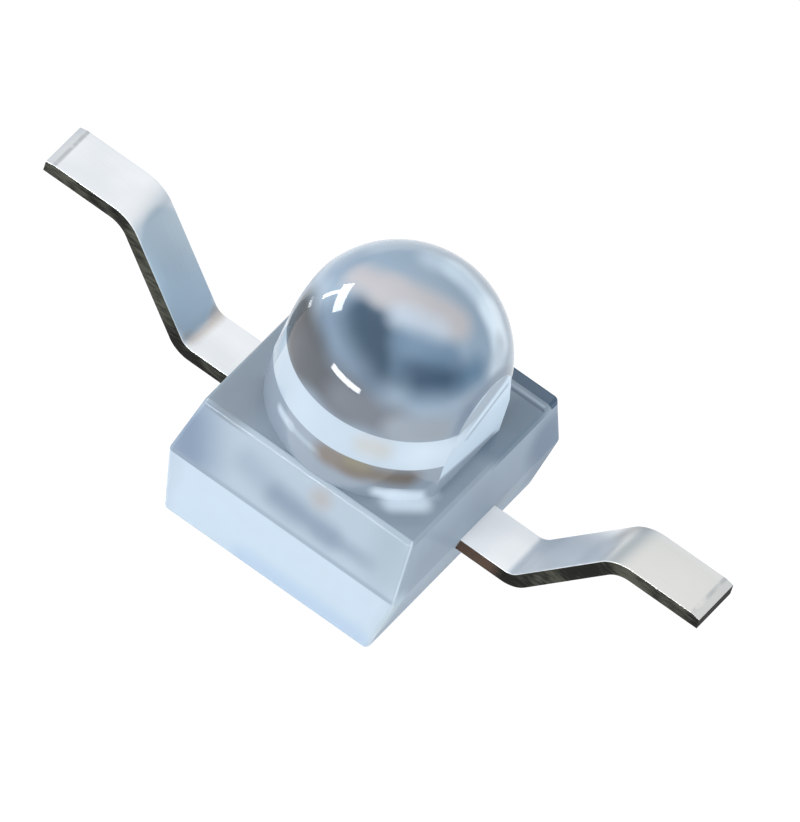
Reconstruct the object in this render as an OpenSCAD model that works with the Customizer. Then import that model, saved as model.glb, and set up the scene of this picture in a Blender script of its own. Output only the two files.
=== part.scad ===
// Domed surface-mount LED with reverse gull-wing leads.
// The origin is the centre of the seat face. +X runs along the anode lead, +Z out of the lens. Millimetres.

/* [Body] */
// Length of the body along the leads, at the parting line
body_length = 2.3; // [2.2:0.05:2.6]
// Width of the body across the leads, at the parting line
body_width = 2.4; // [2.3:0.05:3]
// Height of the top face above the seat face
body_height = 1.26; // [1.2:0.02:1.4]
// Height of the parting line above the seat face, level with the top of both leads
parting_height = 0.7; // [0.6:0.02:0.8]
// Draft of each lead-side face from the parting line down to the seat face
end_draft_low = 0.115; // [0:0.005:0.15]
// Draft of each lead-side face from the parting line up to the top face
end_draft_high = 0.09; // [0:0.005:0.1]
// Draft of the two long faces from the parting line down to the seat face
side_draft = 0.01; // [0:0.005:0.15]
// How far the front long face leans in from the parting line up to the top face
front_slope = 0.21; // [0.05:0.01:0.25]
// How far the back long face leans in from the parting line up to the top face
back_slope = 0.1; // [0.02:0.01:0.2]

/* [Lens] */
// Distance of the lens axis from the middle of the body, towards the anode lead
lens_offset = 0.03; // [0:0.005:0.05]
// Diameter of the dome
lens_diameter = 1.88; // [1.82:0.01:1.9]
// Height of the dome's crown above the seat face
overall_height = 2.86; // [2.75:0.01:2.92]
// Diameter of the pedestal that carries the dome
pedestal_diameter = 1.96; // [1.92:0.01:2.05]
// Height of the pedestal above the top face
pedestal_height = 0.41; // [0.3:0.01:0.45]
// Height of the tapered collar between the pedestal and the dome
collar_height = 0.32; // [0.28:0.01:0.4]
// Distance between the two flats on the lead sides of the lens
lens_flats = 1.72; // [1.66:0.01:1.9]

/* [Leads] */
// Width of each lead outside the body
lead_width = 0.49; // [0.3:0.01:0.6]
// Thickness of the lead frame
lead_thickness = 0.14; // [0.12:0.01:0.18]
// Length over both lead tips
lead_span = 6.63; // [6.2:0.01:7]
// Distance from the centre to the foot of the riser
riser_foot = 1.66; // [1.5:0.005:1.75]
// Distance from the centre to the head of the riser
riser_head = 2.46; // [2.3:0.005:2.6]
// Height of the solder faces above the seat face
solder_height = 1.675; // [1.4:0.005:1.8]
// Radius on the inner side of the lower bend
lower_bend_radius = 0.15; // [0.05:0.01:0.25]
// Radius on the inner side of the upper bend
upper_bend_radius = 0.24; // [0.05:0.01:0.3]
// Length of the bevel that the cut leaves on the top edge of each tip
tip_bevel = 0.07; // [0.02:0.01:0.12]
// Depth of that bevel at the tip
tip_drop = 0.02; // [0.01:0.005:0.04]

/* [Lead frame inside the body] */
// Width of the die pad
pad_width = 1.0; // [0.8:0.05:1.2]
// Distance from the lens axis to the edge of the die pad on the anode side
pad_reach = 0.36; // [0.34:0.01:0.4]
// Distance from the lens axis to the edge of the die pad on the cathode side
pad_back = 0.5; // [0.4:0.01:0.6]
// Length of the slope between the cathode lead and the die pad
pad_slope = 0.2; // [0.1:0.01:0.25]
// Gap between the die pad and the bond post
frame_gap = 0.16; // [0.12:0.01:0.2]
// Width of the bond post's head
post_width = 0.8; // [0.6:0.05:1]
// Length of the bond post's head along the leads
post_length = 0.24; // [0.2:0.01:0.3]
// Diameter of the reflector cup at its mouth
cup_mouth = 0.64; // [0.6:0.01:0.66]
// Diameter of the reflector cup at its floor
cup_floor = 0.44; // [0.44:0.01:0.5]
// Depth of the reflector cup
cup_depth = 0.07; // [0.04:0.005:0.09]

/* [Chip and bond] */
// Side of the square LED chip
chip_side = 0.25; // [0.2:0.01:0.26]
// Thickness of the LED chip
chip_thickness = 0.14; // [0.12:0.01:0.18]
// Thickness of the adhesive under the chip
bond_line = 0.012; // [0.01:0.001:0.02]
// Height of the adhesive's fillet round the chip
fillet_height = 0.045; // [0.03:0.005:0.06]
// Diameter of the metal contact on the chip
contact_diameter = 0.11; // [0.09:0.01:0.14]
// Thickness of the metal contact on the chip
contact_thickness = 0.01; // [0.008:0.001:0.015]
// Diameter of the bond wire
wire_diameter = 0.025; // [0.02:0.005:0.03]
// Diameter of the ball that the wire starts from
ball_diameter = 0.07; // [0.06:0.005:0.08]
// Thickness of that ball once it is pressed down
ball_height = 0.02; // [0.015:0.001:0.025]
// Height of the wire's control points above the chip's contact
loop_height = 0.3; // [0.2:0.01:0.4]

/* [Hidden] */
$fn = 96;

// Each cut runs past what it cuts by this much
over = 0.2;

lens_radius = lens_diameter / 2;
lens_centre = overall_height - lens_radius;
pedestal_radius = pedestal_diameter / 2;
pedestal_top = body_height + pedestal_height;
collar_top = pedestal_top + collar_height;
collar_radius = sqrt(pow(lens_radius, 2) - pow(collar_top - lens_centre, 2));
// The pedestal is rooted half way down between the top face and the parting line
lens_root = (body_height + parting_height) / 2;

lead_top = parting_height;
rise = solder_height - lead_top;
riser_angle = atan2(rise, riser_head - riser_foot);
lower_tangent = lower_bend_radius * tan(riser_angle / 2);
upper_tangent = (upper_bend_radius + lead_thickness) * tan(riser_angle / 2);
riser_run = norm([riser_head - riser_foot, rise]) - lower_tangent - upper_tangent;
foot_length = lead_span / 2 - riser_head - upper_tangent;

// The die pad runs from pad_start, on the cathode side, to pad_end
pad_start = lens_offset - pad_back;
pad_end = lens_offset + pad_reach;
post_start = pad_end + frame_gap;
post_end = post_start + post_length;
bend_start = riser_foot - lower_tangent;

cup_bottom = lead_top - cup_depth;
chip_bottom = cup_bottom + bond_line;
chip_top = chip_bottom + chip_thickness;
contact_top = chip_top + contact_thickness;
adhesive_clearance = 0.01;
adhesive_foot = cup_floor / 2 - adhesive_clearance;
adhesive_head = chip_side / sqrt(2) + adhesive_clearance / 2;

wire_radius = wire_diameter / 2;
wire_sides = 8;
wire_steps = 18;
// How far along the span the loop's second control point lies
wire_lean = 0.55;
// The pressed ball keeps its full width up to this share of its height
ball_shoulder = 0.8;
stitch_x = post_start + post_length / 2;
// Half length and half width of the stitch that the wire ends in
stitch_half = [0.035, 0.02];
wire_start = [lens_offset, contact_top + ball_height];
wire_end = [stitch_x, lead_top];
wire_controls = [
    wire_start,
    [lens_offset, contact_top + loop_height],
    [lens_offset + (stitch_x - lens_offset) * wire_lean, contact_top + loop_height],
    wire_end,
];

// A point of the wire's centre line, in x and z, for t from 0 to 1
function wire_point(t) =
    pow(1 - t, 3) * wire_controls[0]
    + 3 * pow(1 - t, 2) * t * wire_controls[1]
    + 3 * (1 - t) * pow(t, 2) * wire_controls[2]
    + pow(t, 3) * wire_controls[3];

// The wire's direction there
function wire_slope(t) =
    3 * pow(1 - t, 2) * (wire_controls[1] - wire_controls[0])
    + 6 * (1 - t) * t * (wire_controls[2] - wire_controls[1])
    + 3 * pow(t, 2) * (wire_controls[3] - wire_controls[2]);

// One ring of points about a centre in x and z. side is the ring's own x direction,
// and half holds its half widths along that direction and along y.
function ring(centre, side, half) = [
    for (i = [0 : wire_sides - 1])
        let (a = 360 * (i + 0.5) / wire_sides, s = half[0] * cos(a))
            [centre[0] + s * side[0], half[1] * sin(a), centre[1] + s * side[1]]
];

// A round ring square to the wire at t
function wire_ring(t) =
    let (d = wire_slope(t) / norm(wire_slope(t)))
        ring(wire_point(t), [d[1], -d[0]], [wire_radius, wire_radius]);

// The body's block: the two drafted outlines crossed with each other
module body_block() {
    intersection() {
        rotate([90, 0, 90])
            linear_extrude(height = body_length + over, center = true)
                drafted_outline(body_width, side_draft, front_slope, back_slope);
        rotate([90, 0, 0])
            linear_extrude(height = body_width + over, center = true)
                drafted_outline(body_length, end_draft_low, end_draft_high, end_draft_high);
    }
}

// An outline that is widest at the parting line. It draws in by low on both sides below it,
// and above it by near on the minus side and by far on the plus side.
module drafted_outline(width, low, near, far) {
    half = width / 2;
    polygon([
        [-half + low, 0],
        [half - low, 0],
        [half, parting_height],
        [half - far, body_height],
        [-half + near, body_height],
        [-half, parting_height],
    ]);
}

// Puts what is made round the z axis on the lens axis
module on_lens_axis() {
    translate([lens_offset, 0, 0]) children();
}

// Pedestal, tapered collar and dome, turned as one and then cut by the two flats
module lens() {
    on_lens_axis()
        intersection() {
            rotate_extrude() lens_outline();
            translate([-lens_flats / 2, -pedestal_diameter, 0])
                cube([lens_flats, 2 * pedestal_diameter, overall_height + over]);
        }
}

module lens_outline() {
    polygon([
        [0, lens_root],
        [pedestal_radius, lens_root],
        [pedestal_radius, pedestal_top],
        [collar_radius, collar_top],
        [0, collar_top],
    ]);
    intersection() {
        translate([0, lens_centre]) circle(r = lens_radius);
        translate([0, collar_top]) square([lens_diameter, lens_diameter]);
    }
}

// A flat length of lead frame. Its top face starts at the origin and runs along +X.
module strip(length, width = lead_width) {
    translate([0, -width / 2, -lead_thickness])
        cube([length, width, lead_thickness]);
}

// A bend about the y axis, from the angle start through sweep degrees
module bend(radius, start, sweep) {
    rotate([90, 0, 0])
        rotate([0, 0, start])
            rotate_extrude(angle = sweep)
                translate([radius, -lead_width / 2]) square([lead_thickness, lead_width]);
}

// Lower bend, riser, upper bend and foot, from the start of the lower bend outwards. A straight
// length before the bend laps over the sheet's neck, so that both are one solid.
module lead_tail() {
    translate([-lead_thickness, 0, 0])
        strip(lead_thickness);
    translate([0, 0, lower_bend_radius])
        bend(lower_bend_radius, -90, riser_angle);
    translate([lower_bend_radius * sin(riser_angle), 0, lower_bend_radius * (1 - cos(riser_angle))])
        rotate([0, -riser_angle, 0]) {
            strip(riser_run);
            translate([riser_run, 0, -upper_bend_radius - lead_thickness]) {
                bend(upper_bend_radius, 90 - riser_angle, riser_angle);
                rotate([0, riser_angle, 0])
                    translate([0, 0, upper_bend_radius + lead_thickness])
                        foot();
            }
        }
}

// The foot, with the bevel that the cut leaves on its top edge
module foot() {
    rotate([90, 0, 0])
        linear_extrude(height = lead_width, center = true)
            polygon([
                [0, -lead_thickness],
                [foot_length, -lead_thickness],
                [foot_length, -tip_drop],
                [foot_length - tip_bevel, 0],
                [0, 0],
            ]);
}

// The lead frame's sheet, cut to an outline, with its top face level with the parting line
module sheet() {
    translate([0, 0, lead_top - lead_thickness])
        linear_extrude(height = lead_thickness) children();
}

module reflector_cup() {
    slope = (cup_mouth - cup_floor) / 2 / cup_depth;
    on_lens_axis()
        translate([0, 0, cup_bottom])
            cylinder(
                h = cup_depth + over,
                r1 = cup_floor / 2,
                r2 = cup_floor / 2 + slope * (cup_depth + over)
            );
}

module cathode_shape() {
    difference() {
        sheet() polygon([
            [-bend_start, -lead_width / 2],
            [pad_start - pad_slope, -lead_width / 2],
            [pad_start, -pad_width / 2],
            [pad_end, -pad_width / 2],
            [pad_end, pad_width / 2],
            [pad_start, pad_width / 2],
            [pad_start - pad_slope, lead_width / 2],
            [-bend_start, lead_width / 2],
        ]);
        reflector_cup();
    }
    rotate([0, 0, 180])
        translate([bend_start, 0, lead_top])
            lead_tail();
}

module anode_shape() {
    sheet() polygon([
        [post_start, -post_width / 2],
        [post_end, -post_width / 2],
        [post_end, -lead_width / 2],
        [bend_start, -lead_width / 2],
        [bend_start, lead_width / 2],
        [post_end, lead_width / 2],
        [post_end, post_width / 2],
        [post_start, post_width / 2],
    ]);
    translate([bend_start, 0, lead_top])
        lead_tail();
}

module chip_shape() {
    on_lens_axis()
        translate([-chip_side / 2, -chip_side / 2, chip_bottom])
            cube([chip_side, chip_side, chip_thickness]);
}

// The adhesive runs under the chip and stands round its lower edge
module adhesive_shape() {
    difference() {
        on_lens_axis()
            translate([0, 0, cup_bottom])
                cylinder(h = fillet_height, r1 = adhesive_foot, r2 = adhesive_head);
        chip_shape();
    }
}

module contact_shape() {
    on_lens_axis()
        translate([0, 0, chip_top])
            cylinder(h = contact_thickness, d = contact_diameter);
}

// Ball, loop and stitch, swept along one curve in the plane through both leads
module wire_shape() {
    ball_half = [ball_diameter / 2, ball_diameter / 2];
    rings = [
        ring([lens_offset, contact_top], [1, 0], ball_half),
        ring([lens_offset, contact_top + ball_height * ball_shoulder], [1, 0], ball_half),
        for (i = [0 : wire_steps - 1]) wire_ring(i / wire_steps),
        ring(wire_end, [-1, 0], stitch_half),
    ];
    count = len(rings);
    sides = [
        for (k = [0 : count - 2])
            for (i = [0 : wire_sides - 1])
                let (j = (i + 1) % wire_sides)
                    [
                        k * wire_sides + i,
                        (k + 1) * wire_sides + i,
                        (k + 1) * wire_sides + j,
                        k * wire_sides + j,
                    ]
    ];
    polyhedron(
        points = [for (r = rings) for (p = r) p],
        faces = concat(
            [[for (i = [0 : wire_sides - 1]) i]],
            sides,
            [[for (i = [wire_sides - 1 : -1 : 0]) (count - 1) * wire_sides + i]]
        ),
        convexity = 6
    );
}

// The moulded epoxy, with the lead frame, chip and wire embedded face to face
module epoxy_body() {
    color([0.76, 0.87, 0.96, 0.45])
        difference() {
            union() {
                body_block();
                lens();
            }
            cathode_shape();
            anode_shape();
            adhesive_shape();
            chip_shape();
            contact_shape();
            wire_shape();
        }
}

module cathode_lead() {
    color([0.82, 0.84, 0.86]) cathode_shape();
}

module anode_lead() {
    color([0.82, 0.84, 0.86]) anode_shape();
}

module die_attach() {
    color([0.62, 0.63, 0.65]) adhesive_shape();
}

module led_chip() {
    color([0.35, 0.4, 0.5]) chip_shape();
}

module chip_contact() {
    color([0.9, 0.75, 0.35]) contact_shape();
}

module bond_wire() {
    color([0.95, 0.78, 0.3]) wire_shape();
}

epoxy_body();
cathode_lead();
anode_lead();
die_attach();
led_chip();
chip_contact();
bond_wire();
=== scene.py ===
"""Looks of a domed surface-mount LED with two reverse gull-wing leads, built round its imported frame."""

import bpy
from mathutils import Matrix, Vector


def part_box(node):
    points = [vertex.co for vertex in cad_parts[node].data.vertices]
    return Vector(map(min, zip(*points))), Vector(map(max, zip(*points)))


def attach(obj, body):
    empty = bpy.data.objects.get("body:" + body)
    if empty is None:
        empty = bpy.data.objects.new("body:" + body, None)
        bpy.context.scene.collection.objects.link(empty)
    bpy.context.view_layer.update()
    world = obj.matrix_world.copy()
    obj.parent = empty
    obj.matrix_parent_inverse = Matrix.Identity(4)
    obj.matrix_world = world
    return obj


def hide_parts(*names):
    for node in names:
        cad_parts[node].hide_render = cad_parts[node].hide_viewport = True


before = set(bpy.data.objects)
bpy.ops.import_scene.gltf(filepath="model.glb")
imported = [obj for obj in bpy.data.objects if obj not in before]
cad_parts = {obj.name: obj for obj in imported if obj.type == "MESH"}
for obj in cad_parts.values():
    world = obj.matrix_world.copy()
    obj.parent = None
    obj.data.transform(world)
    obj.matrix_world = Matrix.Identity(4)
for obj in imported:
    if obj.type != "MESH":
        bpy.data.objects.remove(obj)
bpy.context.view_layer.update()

import logging
import math
from dataclasses import dataclass, field
from enum import Enum
from typing import Any

import bmesh
import bpy
from mathutils import Matrix, Vector

log = logging.getLogger("led")

MM = 0.001
BODY = "root"


def lens_axis() -> float:
    """Where the lens axis stands along the leads, in millimetres, which is over the chip's contact."""
    low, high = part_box("chip_contact")
    return (low.x + high.x) / 2 / MM


Point = tuple[float, float, float]
Colour = tuple[float, float, float]


class Side(Enum):
    """Which way a lead runs from the lens axis."""

    CATHODE = -1
    ANODE = 1


class Region(Enum):
    """Parts of the moulded body's surface, each with its own tone of painted light and shade."""

    LOWER_BAND = 0
    UPPER_SLOPE = 1
    TOP_FACE = 2
    PEDESTAL = 3
    COLLAR = 4
    DOME = 5
    FLAT = 6
    EDGE = 7
    END_FACE = 8
    END_RIM = 9
    SEAT = 10


class Level(Enum):
    """Heights between which a patch of tone lies, in millimetres."""

    ANY = (-1.0, 9.0)
    BAND = (-1.0, 0.7)
    SLOPE = (0.7, 1.25)
    TOP_FACE = (1.2, 1.262)
    ROOT = (1.2, 1.42)
    PEDESTAL = (1.262, 1.67)
    COLLAR = (1.67, 1.99)
    DOME = (1.99, 9.0)


def srgb(code: str) -> Colour:
    """Turns a six-digit screen colour into linear light.

    Args:
        code: Red, green and blue as hexadecimal digits, such as "8fa0ae".

    Returns:
        The three linear values.
    """
    parts = [int(code[i : i + 2], 16) / 255 for i in (0, 2, 4)]
    return tuple(p / 12.92 if p <= 0.04045 else ((p + 0.055) / 1.055) ** 2.4 for p in parts)


class Signal:
    """An output socket of a node tree, on which Python's operators add Math nodes."""

    def __init__(self, graph: "Graph", socket: bpy.types.NodeSocket) -> None:
        """Keeps the socket and the graph that it belongs to."""
        self.graph = graph
        self.socket = socket

    @property
    def is_vector(self) -> bool:
        """Whether the socket carries a vector or a colour."""
        return self.socket.type in {"VECTOR", "RGBA"}

    def out(self, name: str) -> "Signal":
        """Another output of the same node, by its name."""
        return Signal(self.graph, self.socket.node.outputs[name])

    def _join(self, operation: str, left: Any, right: Any) -> "Signal":
        """Adds a Math node, or a Vector Math node where either side is a vector.

        Args:
            operation: The node's operation.
            left: Its first input, a signal or a number.
            right: Its second input, a signal or a number.

        Returns:
            The node's result.
        """
        vector = any(isinstance(s, Signal) and s.is_vector for s in (left, right))
        kind = "ShaderNodeVectorMath" if vector else "ShaderNodeMath"
        return self.graph.add(kind, {"operation": operation}, {0: left, 1: right})

    def __add__(self, other: Any) -> "Signal":
        """Sum."""
        return self._join("ADD", self, other)

    def __radd__(self, other: Any) -> "Signal":
        """Sum, with the number on the left."""
        return self._join("ADD", other, self)

    def __sub__(self, other: Any) -> "Signal":
        """Difference."""
        return self._join("SUBTRACT", self, other)

    def __rsub__(self, other: Any) -> "Signal":
        """Difference, with the number on the left."""
        return self._join("SUBTRACT", other, self)

    def __mul__(self, other: Any) -> "Signal":
        """Product."""
        return self._join("MULTIPLY", self, other)

    def __rmul__(self, other: Any) -> "Signal":
        """Product, with the number on the left."""
        return self._join("MULTIPLY", other, self)

    def __truediv__(self, other: Any) -> "Signal":
        """Quotient."""
        return self._join("DIVIDE", self, other)

    def __rtruediv__(self, other: Any) -> "Signal":
        """Quotient, with the number on the left."""
        return self._join("DIVIDE", other, self)

    def __abs__(self) -> "Signal":
        """Absolute value."""
        return self._join("ABSOLUTE", self, 0.0)

    def at_most(self, other: Any) -> "Signal":
        """The lesser of this and another value."""
        return self._join("MINIMUM", self, other)

    def at_least(self, other: Any) -> "Signal":
        """The greater of this and another value."""
        return self._join("MAXIMUM", self, other)

    def rise(self, low: float, high: float) -> "Signal":
        """A smooth step from 0 at low to 1 at high, or the other way where low is the greater.

        Args:
            low: Where the step starts.
            high: Where the step ends.

        Returns:
            The stepped value.
        """
        return self.graph.add(
            "ShaderNodeMapRange",
            {"interpolation_type": "SMOOTHSTEP"},
            {"Value": self, "From Min": low, "From Max": high},
        )


class Graph:
    """A node tree under construction."""

    def __init__(self, tree: bpy.types.NodeTree) -> None:
        """Takes a tree and empties it."""
        self.tree = tree
        tree.nodes.clear()

    def add(
        self,
        kind: str,
        settings: dict[str, Any] | None = None,
        sockets: dict[int | str, Any] | None = None,
        output: int | str = 0,
    ) -> Signal:
        """Adds one node.

        Args:
            kind: The node's type.
            settings: What is set on the node before its sockets, with a ramp's stops under "stops".
            sockets: A value or a signal for each input, by index, identifier or name.
            output: The output that is wanted, by index, identifier or name.

        Returns:
            That output, or the node's first input's owner where it has no output.
        """
        node = self.tree.nodes.new(kind)
        for key, value in (settings or {}).items():
            if key == "stops":
                self._set_stops(node.color_ramp, value)
            else:
                setattr(node, key, value)
        for key, value in (sockets or {}).items():
            self._feed(self._find(node.inputs, key), value)
        if not node.outputs:
            return Signal(self, node.inputs[0])
        return Signal(self, self._find(node.outputs, output))

    @staticmethod
    def _set_stops(ramp: bpy.types.ColorRamp, stops: list[tuple[float, Colour]]) -> None:
        """Gives a ramp its stops, each a place from 0 to 1 and a colour."""
        while len(ramp.elements) < len(stops):
            ramp.elements.new(1.0)
        for element, (place, colour) in zip(ramp.elements, stops):
            element.position = place
            element.color = (*colour, 1.0)

    @staticmethod
    def _find(sockets: Any, key: int | str) -> bpy.types.NodeSocket:
        """The socket with that index, identifier or name."""
        if isinstance(key, int):
            return sockets[key]
        exact = [s for s in sockets if s.identifier == key]
        return exact[0] if exact else sockets[key]

    def _feed(self, socket: bpy.types.NodeSocket, value: Any) -> None:
        """Links a signal to a socket, or sets the socket's own value."""
        if isinstance(value, Signal):
            self.tree.links.new(value.socket, socket)
        elif socket.type == "RGBA":
            socket.default_value = (*value[:3], 1.0)
        elif socket.type == "VECTOR" and isinstance(value, (int, float)):
            socket.default_value = (value, value, value)
        else:
            socket.default_value = value

    def mix(self, factor: Any, low: Any, high: Any) -> Signal:
        """Mixes two colours, from low at 0 to high at 1.

        Args:
            factor: The share of high, a number or a signal.
            low: The first colour.
            high: The second colour.

        Returns:
            The mixed colour.
        """
        return self.add(
            "ShaderNodeMix",
            {"data_type": "RGBA"},
            {"Factor_Float": factor, "A_Color": low, "B_Color": high},
            output="Result_Color",
        )

    def place(self) -> Signal:
        """The object's own coordinates, in millimetres."""
        return self.add("ShaderNodeTexCoord", output="Object") * (1 / MM)

    def near(self, where: Signal, start: Point, end: Point, core: float, reach: float) -> Signal:
        """A soft mask round the straight line between two points.

        Args:
            where: The coordinates that it is read at.
            start: One end of the line.
            end: The other end.
            core: Distance from the line up to which the mask is 1.
            reach: Distance from which it is 0.

        Returns:
            The mask.
        """
        axis = Vector(end) - Vector(start)
        offset = where - tuple(start)
        along = self.add(
            "ShaderNodeVectorMath",
            {"operation": "DOT_PRODUCT"},
            {0: offset, 1: tuple(axis / max(axis.length_squared, 1e-9))},
            output="Value",
        )
        foot = self.add(
            "ShaderNodeVectorMath",
            {"operation": "SCALE"},
            {0: tuple(axis), "Scale": along.at_least(0.0).at_most(1.0)},
        )
        away = self.add("ShaderNodeVectorMath", {"operation": "LENGTH"}, {0: offset - foot}, output="Value")
        return away.rise(reach, core)

    def noise(self, where: Signal, scale: float, detail: float = 2.0) -> Signal:
        """Soft noise from 0 to 1.

        Args:
            where: The coordinates that it is read at.
            scale: Waves for each millimetre.
            detail: Finer layers of the noise.

        Returns:
            The noise value.
        """
        return self.add("ShaderNodeTexNoise", {}, {"Vector": where, "Scale": scale, "Detail": detail})

    def surface(self, shader: Signal) -> None:
        """Links a shader to the output."""
        self.add("ShaderNodeOutputMaterial", {}, {"Surface": shader})


def new_material(name: str) -> tuple[bpy.types.Material, Graph]:
    """Makes an empty node material.

    Args:
        name: The material's name.

    Returns:
        The material and its graph.
    """
    material = bpy.data.materials.new(name)
    material.use_nodes = True
    return material, Graph(material.node_tree)


@dataclass(frozen=True)
class Cloud:
    """A soft patch of another tone round a line. Places and sizes in millimetres."""

    start: Point
    end: Point
    core: float
    reach: float
    colour: Colour
    strength: float = 1.0
    level: Level = Level.ANY

    def over(self, graph: Graph, where: Signal, tone: Any) -> Signal:
        """Lays the patch over a tone.

        Args:
            graph: The material's graph.
            where: The coordinates that it is read at.
            tone: The tone under it.

        Returns:
            The tone with the patch.
        """
        seam = 0.004
        mask = graph.near(where, self.start, self.end, self.core, self.reach) * self.strength
        low, high = self.level.value
        height = graph.add("ShaderNodeSeparateXYZ", {}, {0: where}, output="Z")
        if low > 0:
            mask = mask * height.rise(low - seam, low + seam)
        if high < Level.ANY.value[1]:
            mask = mask * height.rise(high + seam, high - seam)
        return graph.mix(mask, tone, self.colour)


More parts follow.
